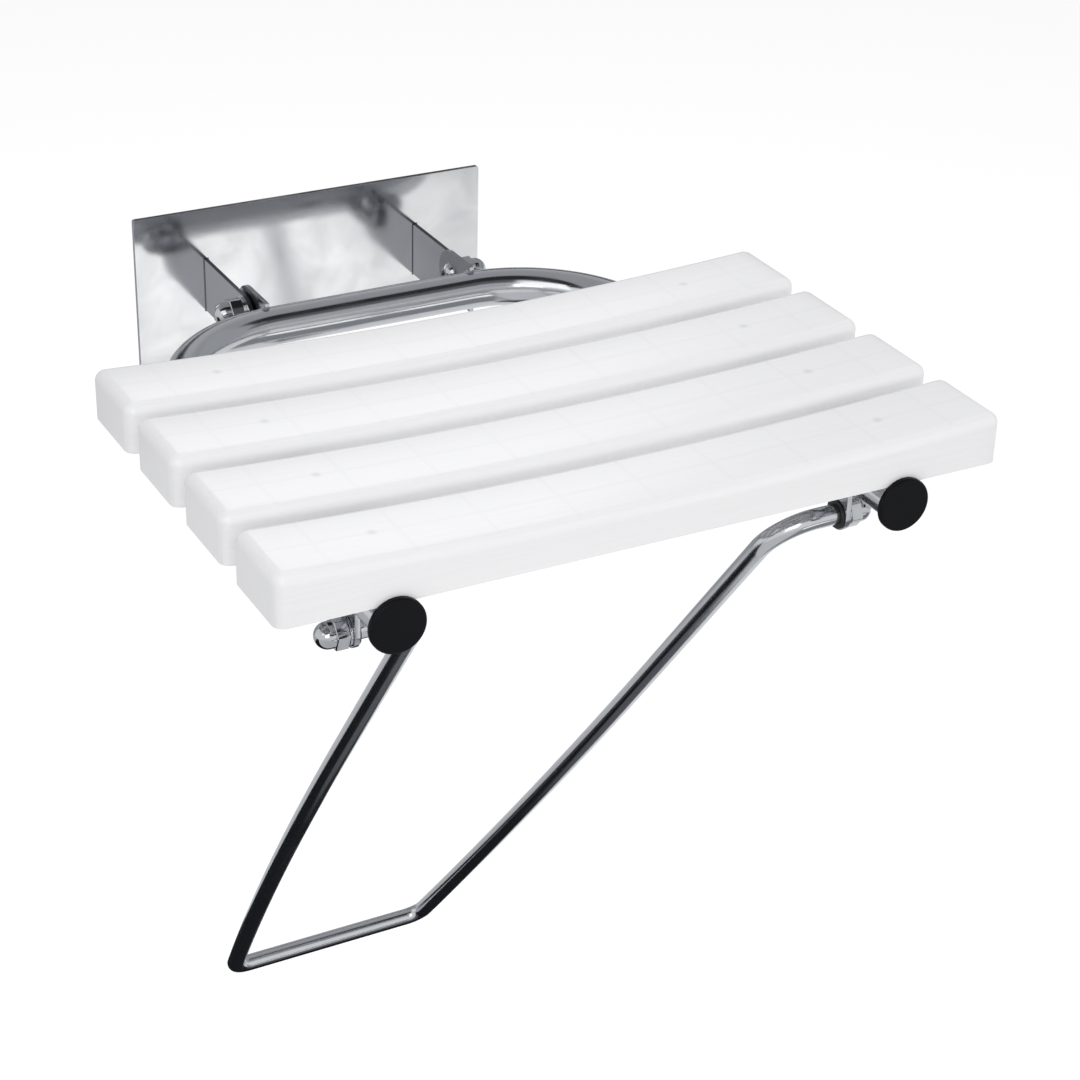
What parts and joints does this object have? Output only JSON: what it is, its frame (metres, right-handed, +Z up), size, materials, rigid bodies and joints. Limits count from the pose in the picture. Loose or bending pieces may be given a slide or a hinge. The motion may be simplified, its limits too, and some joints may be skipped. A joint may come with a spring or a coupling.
{
  "type": "fold down wall seat",
  "caption": "Fold down shower seat with dished white slats on a bent steel tube frame, hinged on a wall plate and braced by a swinging bent strut.",
  "frame": {"origin": "centre of the wall face of the wall plate", "axes": "+X right seen from the front, +Y into the wall, +Z up"},
  "size_m": [0.45, 0.4857, 0.6337],
  "materials": {
    "polished_steel": "mirror polished stainless steel",
    "brushed_steel": "plain stainless steel",
    "white_plastic": "smooth moulded white plastic",
    "black_plastic": "moulded black plastic"
  },
  "bodies": {
    "wall": {"wall_plate": "brushed_steel", "cover_plate": "polished_steel", "ear_left": "polished_steel", "ear_right": "polished_steel", "hinge_bolt_left": "polished_steel", "hinge_bolt_right": "polished_steel", "hinge_washers": "polished_steel", "hinge_nut_left": "polished_steel", "hinge_nut_right": "polished_steel"},
    "seat": {"hinge_bushes": "black_plastic", "frame_lug_left": "polished_steel", "frame_lug_right": "polished_steel", "seat_tube": "polished_steel", "slat_1": "white_plastic", "slat_2": "white_plastic", "slat_3": "white_plastic", "slat_4": "white_plastic", "slat_screws": "brushed_steel", "end_cap_left": "black_plastic", "end_cap_right": "black_plastic", "strut_lug_left": "polished_steel", "strut_lug_right": "polished_steel", "strut_bushes": "black_plastic"},
    "strut": {"strut_tube": "polished_steel", "strut_stud_left": "brushed_steel", "strut_stud_right": "brushed_steel", "strut_washers": "polished_steel", "strut_nut_left": "polished_steel", "strut_nut_right": "polished_steel"}
  },
  "joints": [
    {"name": "seat_fold", "type": "hinge", "parent": "wall", "child": "seat", "pos_m": [0, -0.071, 0.0075], "axis": [-1, 0, 0], "range_deg": [0, 93.9]},
    {"name": "strut_swing", "type": "hinge", "parent": "seat", "child": "strut", "pos_m": [0, -0.4222, -0.0275], "axis": [1, 0, 0], "range_deg": [0, 52.79]}
  ],
  "couplings": [
    {"joint": "strut_swing", "follows": "seat_fold", "ratio": 0.5621}
  ]
}
